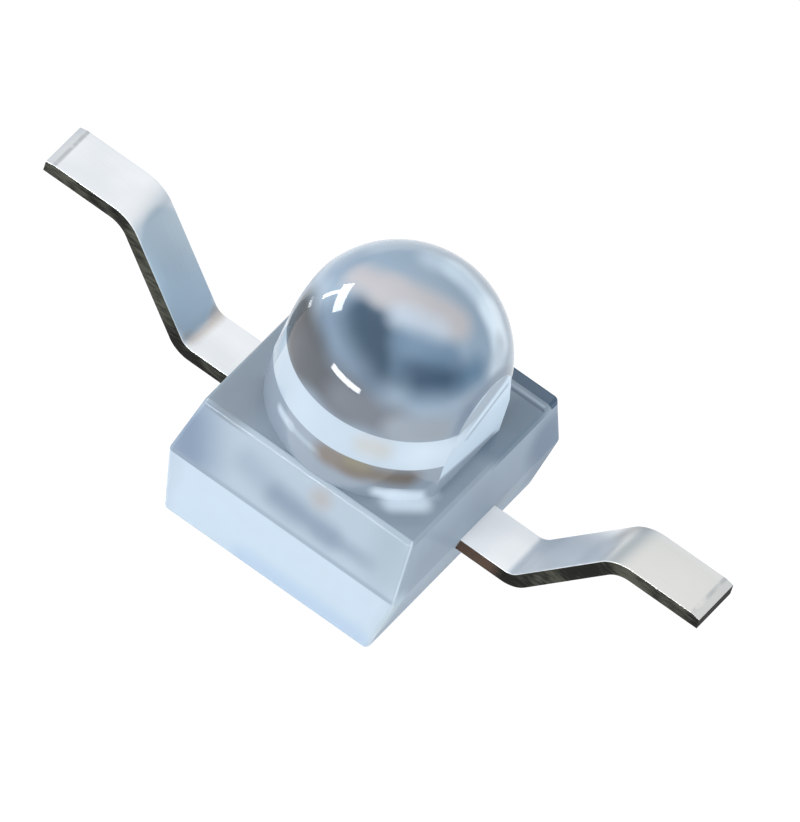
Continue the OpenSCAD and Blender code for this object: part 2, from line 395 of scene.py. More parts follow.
@dataclass(frozen=True)
class ClearEpoxy:
    """Clear moulded epoxy with a faint blue cast: a soft depth under a glossy skin, matt at the ends, with
    light, shade, refraction and reflection painted into its tone.
    """

    # Painted light and shade per region: the front faces lighter, the top face, pedestal and end face darker,
    # and the pale collar standing in for light refracted through it.
    shaded_region_tones: tuple[tuple[Region, Colour], ...] = (
        (Region.LOWER_BAND, srgb("bdcfde")),
        (Region.UPPER_SLOPE, srgb("a5b5c3")),
        (Region.TOP_FACE, srgb("8c9baa")),
        (Region.PEDESTAL, srgb("8a98a7")),
        (Region.COLLAR, srgb("bacad8")),
        (Region.DOME, srgb("90a4b7")),
        (Region.FLAT, srgb("cfe0ee")),
        (Region.EDGE, srgb("c4d4e0")),
        (Region.END_FACE, srgb("9eacba")),
        (Region.END_RIM, srgb("95a4b2")),
        (Region.SEAT, srgb("d6e9f8")),
    )
    # Patches of painted shade, refraction and reflection: the lead frame's dark shape refracted in the dome and
    # the shade round its foot, pale rims and crescents, streaks and a smear under the collar, a pale patch at
    # the pedestal's foot, and dark strips and lines on the top face and slopes.
    painted_light_patches: tuple[Cloud, ...] = (
        Cloud((-0.4, -0.62, 2.5), (0.1, -0.84, 2.36), 0.08, 0.34, srgb("6a7f94"), 0.9, Level.DOME),
        Cloud((-0.72, -0.49, 2.2), (-0.48, -0.74, 2.2), 0.12, 0.38, srgb("2b2f35"), 1.0, Level.DOME),
        Cloud((-0.48, -0.74, 2.2), (0.06, -0.9, 2.19), 0.06, 0.32, srgb("474c54"), 1.0, Level.DOME),
        Cloud((0.06, -0.9, 2.19), (0.44, -0.81, 2.16), 0.04, 0.3, srgb("69707a"), 1.0, Level.DOME),
        Cloud((0.55, -0.76, 2.11), (0.78, -0.53, 2.11), 0.05, 0.25, srgb("8f9aa5"), 1.0, Level.DOME),
        Cloud((0.86, -0.37, 2.16), (0.84, -0.26, 2.31), 0.02, 0.15, srgb("8b9aab"), 0.8, Level.DOME),
        Cloud((0.89, -0.3, 1.98), (0.89, 0.12, 2.24), 0.1, 0.19, srgb("a4b2c0"), 1.0),
        Cloud((0.89, -0.17, 1.76), (0.89, 0.3, 2.01), 0.008, 0.05, srgb("8fa0b0"), 0.7),
        Cloud((-0.64, -0.1, 2.56), (-0.6, 0.0, 2.6), 0.06, 0.24, srgb("788fa6"), 1.0, Level.DOME),
        Cloud((-0.06, 0.32, 2.8), (0.13, 0.39, 2.77), 0.02, 0.22, srgb("b9cbda"), 1.0, Level.DOME),
        Cloud((0.13, 0.39, 2.77), (0.53, 0.36, 2.63), 0.04, 0.22, srgb("cddfed"), 1.0, Level.DOME),
        Cloud((0.53, 0.36, 2.63), (0.72, 0.28, 2.5), 0.05, 0.21, srgb("e2f2fd"), 1.0, Level.DOME),
        Cloud((0.74, 0.25, 2.48), (0.84, 0.08, 2.38), 0.02, 0.17, srgb("bccbd8"), 1.0, Level.DOME),
        Cloud((-0.22, -0.45, 2.7), (0.0, -0.55, 2.68), 0.0, 0.3, srgb("133f5c"), 1.0, Level.DOME),
        Cloud((-0.09, -0.53, 2.69), (0.2, -0.66, 2.57), 0.0, 0.32, srgb("173d55"), 1.0, Level.DOME),
        Cloud((0.34, -0.58, 2.6), (0.56, -0.4, 2.61), 0.0, 0.22, srgb("4e6c85"), 1.0, Level.DOME),
        Cloud((0.72, -0.26, 2.5), (0.76, -0.14, 2.5), 0.0, 0.24, srgb("5d7c95"), 1.0, Level.DOME),
        Cloud((0.5, -0.54, 2.54), (0.62, -0.4, 2.54), 0.0, 0.3, srgb("1d415c"), 0.95, Level.DOME),
        Cloud((-0.42, -0.18, 2.7), (-0.14, -0.2, 2.8), 0.02, 0.24, srgb("b6b4b8"), 1.0, Level.DOME),
        Cloud((-0.14, -0.2, 2.81), (0.43, -0.05, 2.78), 0.05, 0.25, srgb("b7b6ba"), 1.0, Level.DOME),
        Cloud((0.08, -0.32, 2.79), (0.36, -0.22, 2.77), 0.02, 0.2, srgb("c3d0de"), 0.6, Level.DOME),
        Cloud((0.22, -0.47, 2.71), (0.56, -0.28, 2.67), 0.0, 0.2, srgb("5d7e9a"), 0.75, Level.DOME),
        Cloud((-0.9, -0.2, 1.8), (-0.7, -0.6, 1.8), 0.15, 0.6, srgb("aabac8"), 0.8, Level.COLLAR),
        Cloud((0.75, -0.6, 1.83), (0.89, -0.38, 1.83), 0.0, 0.4, srgb("cfdeeb"), 1.0, Level.COLLAR),
        Cloud((0.36, -0.89, 1.86), (0.46, -0.85, 1.86), 0.0, 0.2, srgb("c0b8a8"), 0.5, Level.COLLAR),
        Cloud((-0.46, -0.85, 1.53), (-0.31, -0.92, 1.53), 0.01, 0.08, srgb("bccbd8"), 1.0, Level.PEDESTAL),
        Cloud((-0.31, -0.92, 1.53), (0.04, -0.98, 1.53), 0.0, 0.06, srgb("a8b9c7"), 0.8, Level.PEDESTAL),
        Cloud((0.1, -0.98, 1.57), (0.33, -0.93, 1.58), 0.04, 0.2, srgb("78706a"), 1.0, Level.PEDESTAL),
        Cloud((0.33, -0.93, 1.57), (0.7, -0.7, 1.56), 0.0, 0.2, srgb("6a6055"), 1.0, Level.PEDESTAL),
        Cloud((0.3, -0.94, 1.64), (0.38, -0.92, 1.64), 0.0, 0.16, srgb("85826c"), 0.7, Level.PEDESTAL),
        Cloud((0.56, -0.83, 1.35), (0.87, -0.45, 1.3), 0.0, 0.11, srgb("dfedf8"), 0.8, Level.ROOT),
        Cloud((0.68, -0.76, 1.31), (0.84, -0.6, 1.27), 0.03, 0.16, srgb("dfedf8"), 0.9, Level.ROOT),
        Cloud((0.89, -0.45, 1.36), (0.89, 0.3, 1.22), 0.08, 0.16, srgb("98a6b4"), 1.0, Level.PEDESTAL),
        Cloud((-0.85, -0.85, 1.26), (-0.95, 0.2, 1.26), 0.1, 0.35, srgb("7e8a95"), 0.9, Level.TOP_FACE),
        Cloud((0.95, 0.35, 1.26), (0.95, 0.75, 1.26), 0.1, 0.3, srgb("6b8092"), 1.0, Level.TOP_FACE),
        Cloud((0.2, 1.05, 1.26), (1.2, 1.05, 1.26), 0.07, 0.085, srgb("2b4d68"), 1.0, Level.TOP_FACE),
        Cloud((0.62, 0.93, 1.26), (1.02, 0.93, 1.26), 0.006, 0.02, srgb("a2b4c4"), 1.0, Level.TOP_FACE),
        Cloud((0.62, 0.89, 1.26), (1.04, 0.89, 1.26), 0.008, 0.02, srgb("54697e"), 1.0, Level.TOP_FACE),
        Cloud((1.15, -1.12, 0.7), (1.1, -1.12, 0.3), 0.02, 0.16, srgb("b3c4cf"), 0.9),
        Cloud((1.14, -0.75, 0.85), (1.14, -0.1, 0.95), 0.0, 0.5, srgb("909dab"), 0.7, Level.SLOPE),
        Cloud((-1.1, -1.1, 1.0), (-1.0, -1.16, 0.8), 0.0, 0.5, srgb("7488a0"), 1.0, Level.SLOPE),
        Cloud((-0.5, -1.08, 1.0), (0.0, -1.12, 0.9), 0.0, 0.22, srgb("8799ab"), 0.6, Level.SLOPE),
        Cloud((-0.15, -1.12, 0.92), (0.4, -1.12, 0.89), 0.0, 0.19, srgb("788a9f"), 0.85, Level.SLOPE),
        Cloud((0.3, -1.13, 0.88), (0.8, -1.12, 0.9), 0.0, 0.13, srgb("7e8fa3"), 0.7, Level.SLOPE),
        Cloud((0.19, -1.04, 1.12), (0.19, -1.04, 1.12), 0.0, 0.18, srgb("a59a92"), 0.6, Level.SLOPE),
        Cloud((0.88, -1.03, 1.16), (0.9, -1.1, 0.95), 0.0, 0.3, srgb("99aab7"), 0.8, Level.SLOPE),
        Cloud((-1.1, -1.195, 0.72), (1.1, -1.195, 0.72), 0.0, 0.04, srgb("8596a7"), 0.7, Level.SLOPE),
        Cloud((-1.1, -1.2, 0.1), (-1.1, -1.2, 0.6), 0.03, 0.2, srgb("b3c3d3"), 0.7, Level.BAND),
        Cloud((-0.2, -1.2, 0.05), (0.9, -1.2, 0.05), 0.05, 0.25, srgb("a9c1da"), 0.7, Level.BAND),
        Cloud((1.14, 0.95, 0.9), (1.14, 1.15, 0.4), 0.1, 0.4, srgb("8090a2"), 1.0, Level.ANY),
    )
    # Painted shade of the thin line where the dome meets its flats.
    seam_shade: Colour = srgb("75869a")
    roughness: float = 0.55
    clarity: float = 0.14
    refraction: float = 1.54
    shine: float = 0.2
    mottle: float = 0.06

    def build(self) -> bpy.types.Material:
        """The finished material."""
        material, graph = new_material("clear_epoxy_skin")
        where = graph.place()
        tone = graph.add("ShaderNodeAttribute", {"attribute_name": "tone"}, output="Color")
        # Painted shade, refraction and reflection laid over the painted per-face tones.
        for cloud in self.painted_light_patches:
            tone = cloud.over(graph, where, tone)
        tone = graph.mix(self._flat_seam_shade(graph, where), tone, self.seam_shade)
        grain = graph.noise(where, 5.0, 3.0)
        tone = tone * (grain * self.mottle + (1 - self.mottle / 2))
        skin = graph.add(
            "ShaderNodeBump",
            {},
            {"Height": graph.noise(where, 9.0, 2.0), "Strength": 0.05, "Distance": 0.01 * MM},
        )
        clear = graph.add(
            "ShaderNodeBsdfPrincipled",
            {},
            {
                "Base Color": tone,
                "Roughness": grain * 0.06 + self.roughness,
                "IOR": self.refraction,
                "Specular IOR Level": self.shine,
                "Transmission Weight": self.clarity,
                "Coat Weight": 1.0,
                "Coat Roughness": 0.03,
                "Normal": skin,
            },
        )
        matt = graph.add(
            "ShaderNodeBsdfPrincipled",
            {},
            {"Base Color": tone, "Roughness": 0.8, "Specular IOR Level": 0.05, "Normal": skin},
        )
        veil = graph.add("ShaderNodeAttribute", {"attribute_name": "veil"}, output="Fac")
        graph.surface(graph.add("ShaderNodeMixShader", {}, {0: veil, 1: clear, 2: matt}))
        return material

    @staticmethod
    def _flat_seam_shade(graph: Graph, where: Signal) -> Signal:
        """A mask for the thin line of painted shade where the dome meets its flats."""
        offset = abs(graph.add("ShaderNodeSeparateXYZ", {}, {0: where}, output="X") - lens_axis())
        height = graph.add("ShaderNodeSeparateXYZ", {}, {0: where}, output="Z")
        line = offset.rise(0.8, 0.84) * offset.rise(0.859, 0.856)
        return line * height.rise(1.99, 2.02) * 0.8


@dataclass(frozen=True)
class TinPlate:
    """Bright tin plate over rolled copper alloy, with the faint grain of the rolling, and painted shade and
    reflection on its bends, risers, feet and tip creases.
    """

    colour: Colour = srgb("f7f9fb")
    dull: Colour = srgb("e6eaee")
    # Painted shade for the crease at each tip.
    crease_shade: Colour = srgb("b4b7ba")
    # Painted shade and reflection on the bends, risers and the right foot.
    painted_shades: tuple[Cloud, ...] = (
        Cloud((-1.68, -0.15, 0.74), (-1.66, 0.2, 0.74), 0.03, 0.12, srgb("bdb5af"), 0.8),
        Cloud((-2.36, 0.1, 1.5), (-2.36, 0.24, 1.5), 0.0, 0.12, srgb("a3b0bc"), 0.2),
        Cloud((-2.24, 0.0, 1.34), (-1.85, 0.0, 0.95), 0.25, 0.34, srgb("c5d3dc"), 0.9),
        Cloud((2.3, 0.15, 1.55), (2.38, 0.24, 1.6), 0.0, 0.22, srgb("9b9c9d"), 0.8),
        Cloud((2.7, -0.1, 1.675), (3.2, -0.1, 1.675), 0.25, 0.5, srgb("dededa"), 0.9),
    )
    crease_reach: float = 3.235
    roughness: float = 0.28
    grain_depth: float = 0.05

    def build(self) -> bpy.types.Material:
        """The finished material."""
        material, graph = new_material("bright_tin")
        where = graph.place()
        grain = graph.add("ShaderNodeMapping", {}, {"Vector": where, "Scale": (0.6, 9.0, 0.6)})
        rolling = graph.noise(grain, 4.0, 3.0)
        cloud = graph.noise(where, 1.3, 2.0)
        colour = graph.mix(cloud.rise(0.35, 0.7), self.colour, self.dull)
        # Lays the painted shade and reflection patches over the tin's colour.
        for shade_patch in self.painted_shades:
            colour = shade_patch.over(graph, where, colour)
        broken = graph.noise(where, 7.0, 2.0).rise(0.3, 0.55)
        reach = abs(graph.add("ShaderNodeSeparateXYZ", {}, {0: where}, output="X"))
        # Painted shade along the crease at each tip, and over the bevelled tip beyond it.
        line = abs(reach - self.crease_reach).rise(0.03, 0.006) * broken
        colour = graph.mix(line * 0.8, colour, self.crease_shade)
        colour = graph.mix(reach.rise(self.crease_reach, self.crease_reach + 0.03) * 0.35, colour, self.crease_shade)
        across = graph.add("ShaderNodeSeparateXYZ", {}, {0: where}, output="X")
        hazy = across.rise(1.1, 1.2) * across.rise(2.5, 2.3)
        root = across.rise(1.1, 1.2) * across.rise(1.55, 1.25)
        bump = graph.add(
            "ShaderNodeBump",
            {},
            {"Height": rolling, "Strength": self.grain_depth, "Distance": 0.02 * MM},
        )
        shader = graph.add(
            "ShaderNodeBsdfPrincipled",
            {},
            {
                "Base Color": colour,
                "Metallic": 0.9 - hazy * 0.2 - root * 0.45,
                "Roughness": cloud * 0.1 + self.roughness,
                "Normal": bump,
            },
        )
        graph.surface(shader)
        return material


@dataclass(frozen=True)
class ShearedEdge:
    """Bare cut side of the lead frame: dark, with a burnished band and a rough fracture."""

    dark: Colour = srgb("141511")
    burnished: Colour = srgb("4c4d44")
    copper: Cloud = Cloud((1.1, -0.25, 0.63), (1.4, -0.25, 0.63), 0.03, 0.2, srgb("6b5547"), 0.7)
    roughness: float = 0.6

    def build(self) -> bpy.types.Material:
        """The finished material."""
        material, graph = new_material("sheared_edge")
        where = graph.place()
        streak = graph.noise(graph.add("ShaderNodeMapping", {}, {"Vector": where, "Scale": (3, 3, 14)}), 3.0)
        patch = graph.noise(where, 2.2, 2.0)
        colour = graph.mix((streak * 0.4 + patch * 0.6).rise(0.42, 0.66), self.dark, self.burnished)
        colour = self.copper.over(graph, where, colour)
        bump = graph.add(
            "ShaderNodeBump", {}, {"Height": streak, "Strength": 0.3, "Distance": 0.01 * MM}
        )
        shader = graph.add(
            "ShaderNodeBsdfPrincipled",
            {},
            {
                "Base Color": colour,
                "Metallic": 0.2,
                "Specular IOR Level": 0.15,
                "Roughness": patch * 0.2 + self.roughness,
                "Normal": bump,
            },
        )
        graph.surface(shader)
        return material


@dataclass(frozen=True)
class SilverAdhesive:
    """Silver-filled adhesive: grey paste with bright flakes."""

    paste: Colour = srgb("8d9094")
    flake: Colour = srgb("d9dbde")

    def build(self) -> bpy.types.Material:
        """The finished material."""
        material, graph = new_material("silver_paste")
        flakes = graph.noise(graph.place(), 45.0, 2.0).rise(0.5, 0.62)
        shader = graph.add(
            "ShaderNodeBsdfPrincipled",
            {},
            {
                "Base Color": graph.mix(flakes, self.paste, self.flake),
                "Metallic": flakes * 0.7,
                "Roughness": 0.6 - flakes * 0.25,
            },
        )
        graph.surface(shader)
        return material


@dataclass(frozen=True)
class SawnChip:
    """Semiconductor chip: dark, glossy on its grown face and sawn on its sides."""

    body: Colour = srgb("39424f")
    grown: Colour = srgb("5b6b80")

    def build(self) -> bpy.types.Material:
        """The finished material."""
        material, graph = new_material("sawn_chip")
        where = graph.place()
        height = graph.add("ShaderNodeSeparateXYZ", {}, {0: where}, output="Z")
        saw = graph.noise(graph.add("ShaderNodeMapping", {}, {"Vector": where, "Scale": (2, 2, 60)}), 4.0)
        shader = graph.add(
            "ShaderNodeBsdfPrincipled",
            {},
            {
                "Base Color": graph.mix(height.rise(0.74, 0.78), self.body, self.grown),
                "Roughness": saw * 0.3 + 0.2,
            },
        )
        graph.surface(shader)
        return material


@dataclass(frozen=True)
class BrightGold:
    """Soft gold of the contact and the bond wire."""

    colour: Colour = srgb("f0c766")
    worn: Colour = srgb("dcae52")

    def build(self) -> bpy.types.Material:
        """The finished material."""
        material, graph = new_material("bright_gold")
        shade = graph.noise(graph.place(), 30.0, 2.0)
        shader = graph.add(
            "ShaderNodeBsdfPrincipled",
            {},
            {
                "Base Color": graph.mix(shade, self.colour, self.worn),
                "Metallic": 1.0,
                "Roughness": shade * 0.15 + 0.2,
            },
        )
        graph.surface(shader)
        return material


def loft(name: str, rings: list[list[Point]]) -> bpy.types.Mesh:
    """Skins rings of equally many points, and closes both ends.

    Args:
        name: The mesh's name.
        rings: Each ring's points, in millimetres.

    Returns:
        The closed mesh, in metres.
    """
    count = len(rings[0])
    points = [tuple(c * MM for c in p) for ring in rings for p in ring]
    faces = [tuple(range(count))]
    for k in range(len(rings) - 1):
        for i in range(count):
            j = (i + 1) % count
            base, above = k * count, (k + 1) * count
            faces.append((base + i, base + j, above + j, above + i))
    faces.append(tuple(range((len(rings) - 1) * count, len(rings) * count)))
    mesh = bpy.data.meshes.new(name)
    mesh.from_pydata(points, [], faces)
    return mesh


def tidy_mesh(mesh: bpy.types.Mesh, sharp_angle: float) -> None:
    """Merges doubles, turns faces outwards, and shades smooth apart from sharp edges.

    Args:
        mesh: The mesh, changed in place.
        sharp_angle: Edges that turn by more than this many degrees stay sharp.
    """
    work = bmesh.new()
    work.from_mesh(mesh)
    bmesh.ops.remove_doubles(work, verts=work.verts, dist=1e-7)
    bmesh.ops.dissolve_degenerate(work, edges=work.edges, dist=1e-8)
    bmesh.ops.recalc_face_normals(work, faces=work.faces)
    for face in work.faces:
        face.smooth = True
    for edge in work.edges:
        edge.smooth = edge.calc_face_angle(0.0) < math.radians(sharp_angle)
    work.to_mesh(mesh)
    work.free()


def add_object(name: str, mesh: bpy.types.Mesh) -> bpy.types.Object:
    """Links a mesh to the scene as an object at the origin."""
    made = bpy.data.objects.new(name, mesh)
    bpy.context.scene.collection.objects.link(made)
    return made


def baked(source: bpy.types.Object, name: str) -> bpy.types.Object:
    """Turns an object with modifiers into a plain mesh object.

    Args:
        source: The object, which is removed.
        name: The new object's name.

    Returns:
        The plain object.
    """
    graph = bpy.context.evaluated_depsgraph_get()
    mesh = bpy.data.meshes.new_from_object(source.evaluated_get(graph), depsgraph=graph)
    bpy.data.objects.remove(source)
    mesh.name = name
    return add_object(name, mesh)


def even_normals(source: bpy.types.Object) -> bpy.types.Object:
    """Weights an object's normals by face area, so that flat faces stay flat beside their roundings."""
    weighted = source.modifiers.new("flat faces", "WEIGHTED_NORMAL")
    weighted.keep_sharp = True
    weighted.weight = 100
    return baked(source, source.name)


@dataclass
class ClearBody:
    """The moulded block, pedestal, collar and dome. Sizes in millimetres."""

    finish: ClearEpoxy = field(default_factory=ClearEpoxy)
    top_face: float = 1.26
    parting: float = 0.7
    end_draft_low: float = 0.115
    end_draft_high: float = 0.09
    side_draft: float = 0.01
    front_slope: float = 0.21
    back_slope: float = 0.1
    lens_radius: float = 0.94
    pedestal_radius: float = 0.98
    pedestal_height: float = 0.41
    collar_height: float = 0.32
    flat_reach: float = 0.86
    corner_radius: float = 0.045
    edge_radius: float = 0.035
    corner_steps: int = 8
    arc_steps: int = 110
    flat_steps: int = 12
    dome_steps: int = 80
    rounding_steps: int = 9
    end_veil: float = 0.85
    flat_veil: float = 0.75

    def __post_init__(self) -> None:
        """Takes the block's length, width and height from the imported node."""
        low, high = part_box("epoxy_body")
        self.half_length = high.x / MM
        self.half_width = high.y / MM
        self.height = high.z / MM
        self.lens_centre = self.height - self.lens_radius
        self.collar_base = self.top_face + self.pedestal_height
        self.collar_top = self.collar_base + self.collar_height
        self.axis = lens_axis()

    def outline_at(self, z: float) -> tuple[float, float, float]:
        """The block's drafted outline at a height.

        Args:
            z: Height above the seat face.

        Returns:
            Half length along the leads, reach of the front face, reach of the back face.
        """
        if z <= self.parting:
            share = 1 - z / self.parting
            end = self.end_draft_low * share
            front = back = self.side_draft * share
        else:
            share = (z - self.parting) / (self.top_face - self.parting)
            end = self.end_draft_high * share
            front, back = self.front_slope * share, self.back_slope * share
        return self.half_length - end, self.half_width - front, self.half_width - back

    def block_ring(self, z: float, inset: float) -> list[Point]:
        """A rounded rectangle round the block.

        Args:
            z: Height above the seat face.
            inset: How far it lies inside the drafted outline.

        Returns:
            Its points, anticlockwise from above.
        """
        end, front, back = self.outline_at(z)
        radius = max(self.corner_radius - inset, 0.01)
        corners = [
            (end - inset - radius, back - inset - radius, 0),
            (-(end - inset - radius), back - inset - radius, 90),
            (-(end - inset - radius), -(front - inset - radius), 180),
            (end - inset - radius, -(front - inset - radius), 270),
        ]
        points = []
        for x, y, start in corners:
            for i in range(self.corner_steps + 1):
                turn = math.radians(start + 90 * i / self.corner_steps)
                points.append((x + radius * math.cos(turn), y + radius * math.sin(turn), z))
        return points

    def block_rings(self) -> list[list[Point]]:
        """The block's rings from the seat face to the edge of the top face."""
        r = self.edge_radius
        quarter = [math.pi / 2 * i / self.rounding_steps for i in range(self.rounding_steps + 1)]
        low = [(r * (1 - math.cos(a)), r * (1 - math.sin(a))) for a in quarter]
        high = [(self.top_face - r + r * math.sin(a), r * (1 - math.cos(a))) for a in quarter]
        ease = 0.02
        middle = [(self.parting - ease, 0.0), (self.parting, 0.0015), (self.parting + ease, 0.0)]
        return [self.block_ring(z, inset) for z, inset in low + middle + high]

    def lens_ring(self, z: float, radius: float, flat: float) -> list[Point]:
        """A circle with two flats, on which the flats' corners are points.

        Args:
            z: Height above the seat face.
            radius: The circle's radius.
            flat: Distance of each flat from the axis.

        Returns:
            Its points, anticlockwise from above.
        """
        start = math.acos(flat / radius) if radius > flat else 0.0
        half_chord = radius * math.sin(start)
        reach = radius * math.cos(start)
        points = []
        for sign in (1, -1):
            for i in range(self.flat_steps):
                points.append((sign * reach, sign * half_chord * (2 * i / self.flat_steps - 1)))
            for i in range(self.arc_steps):
                turn = start + (math.pi - 2 * start) * i / self.arc_steps
                points.append((sign * radius * math.cos(turn), sign * radius * math.sin(turn)))
        return [(self.axis + x, y, z) for x, y in points]

    def lens_rings(self) -> list[list[Point]]:
        """The lens's rings, from its root on the top face to just under the crown."""
        rim = 0.015
        rings = [self.lens_ring(self.top_face, self.pedestal_radius, self.flat_reach)]
        collar_radius = math.sqrt(self.lens_radius**2 - (self.collar_top - self.lens_centre) ** 2)
        lean = (self.pedestal_radius - collar_radius) / self.collar_height
        rings.append(self.lens_ring(self.collar_base - rim, self.pedestal_radius, self.flat_reach))
        eased = self.pedestal_radius - lean * rim / 4
        rings.append(self.lens_ring(self.collar_base, eased, self.flat_reach))
        above = self.pedestal_radius - lean * rim
        rings.append(self.lens_ring(self.collar_base + rim, above, self.flat_reach))
        first = math.asin((self.collar_top - self.lens_centre) / self.lens_radius)
        for i in range(self.dome_steps):
            lift = first + (math.pi / 2 - first) * i / self.dome_steps
            z = self.lens_centre + self.lens_radius * math.sin(lift)
            rings.append(self.lens_ring(z, self.lens_radius * math.cos(lift), self.flat_reach))
        return rings

    def build(self) -> bpy.types.Object:
        """The closed body, as one smooth piece."""
        block = self.block_rings()
        lens = self.lens_rings()
        work = bmesh.new()
        block_loop = self._skin(work, block)
        lens_loops = self._skin(work, lens)
        work.faces.new(block_loop[0])
        crown = work.verts.new((self.axis * MM, 0, self.height * MM))
        last = lens_loops[-1]
        for i, vertex in enumerate(last):
            work.faces.new((vertex, last[(i + 1) % len(last)], crown))
        edges = self._loop_edges(block_loop[-1]) + self._loop_edges(lens_loops[0])
        bmesh.ops.remove_doubles(work, verts=work.verts, dist=1e-8)
        edges = [e for e in edges if e.is_valid]
        bmesh.ops.triangle_fill(work, edges=edges, use_beauty=True)
        mesh = bpy.data.meshes.new("clear_body")
        work.to_mesh(mesh)
        work.free()
        tidy_mesh(mesh, 13.0)
        self._store_painted_shading(mesh)
        mesh.materials.append(self.finish.build())
        return even_normals(add_object("clear_body", mesh))

    @staticmethod
    def _skin(work: bmesh.types.BMesh, rings: list[list[Point]]) -> list[list[bmesh.types.BMVert]]:
        """Adds the walls between rings.

        Args:
            work: The mesh under construction.
            rings: Each ring's points, in millimetres.

        Returns:
            Each ring's vertices.
        """
        loops = [[work.verts.new([c * MM for c in p]) for p in ring] for ring in rings]
        for lower, upper in zip(loops, loops[1:]):
            for i in range(len(lower)):
                j = (i + 1) % len(lower)
                work.faces.new((lower[i], lower[j], upper[j], upper[i]))
        return loops

    @staticmethod
    def _loop_edges(loop: list[bmesh.types.BMVert]) -> list[bmesh.types.BMEdge]:
        """The edges that join a ring's vertices."""
        found = []
        for i, vertex in enumerate(loop):
            after = loop[(i + 1) % len(loop)]
            found += [e for e in vertex.link_edges if after in e.verts]
        return found

    def region_of(self, centre: Vector, normal: Vector) -> Region:
        """Which part of the body a face belongs to.

        Args:
            centre: The face's centre, in millimetres.
            normal: The face's normal.

        Returns:
            Its region.
        """
        if centre.z > self.top_face + 0.001:
            if abs(centre.x - self.axis) > self.flat_reach - 0.002 and abs(normal.x) > 0.999:
                return Region.FLAT
            if centre.z > self.collar_top:
                return Region.DOME
            return Region.COLLAR if centre.z > self.collar_base else Region.PEDESTAL
        if normal.z > 0.98:
            return Region.TOP_FACE
        if normal.z < -0.98:
            return Region.SEAT
        if abs(normal.x) > 0.95:
            return Region.END_FACE
        if normal.z > 0.05 and abs(normal.x) > abs(normal.y):
            return Region.END_RIM
        if normal.z > 0.05 and centre.z > self.parting + 0.1 and abs(normal.x) < 0.2:
            return Region.UPPER_SLOPE if normal.y < 0 else Region.TOP_FACE
        if abs(normal.y) > 0.85:
            return Region.LOWER_BAND if centre.z < self.parting else Region.UPPER_SLOPE
        return Region.EDGE

    def _store_painted_shading(self, mesh: bpy.types.Mesh) -> None:
        """Stores each face's tone of painted light and shade, and how matt it is, as attributes."""
        shaded_region_tones = dict(self.finish.shaded_region_tones)
        mesh.attributes.new("tone", "FLOAT_COLOR", "CORNER")
        mesh.attributes.new("veil", "FLOAT", "CORNER")
        layer, veil = mesh.attributes["tone"], mesh.attributes["veil"]
        veils = {Region.END_FACE: self.end_veil, Region.FLAT: self.flat_veil}
        for polygon in mesh.polygons:
            region = self.region_of(polygon.center / MM, polygon.normal)
            for index in polygon.loop_indices:
                layer.data[index].color = (*shaded_region_tones[region], 1.0)
                veil.data[index].value = veils.get(region, 0.0)


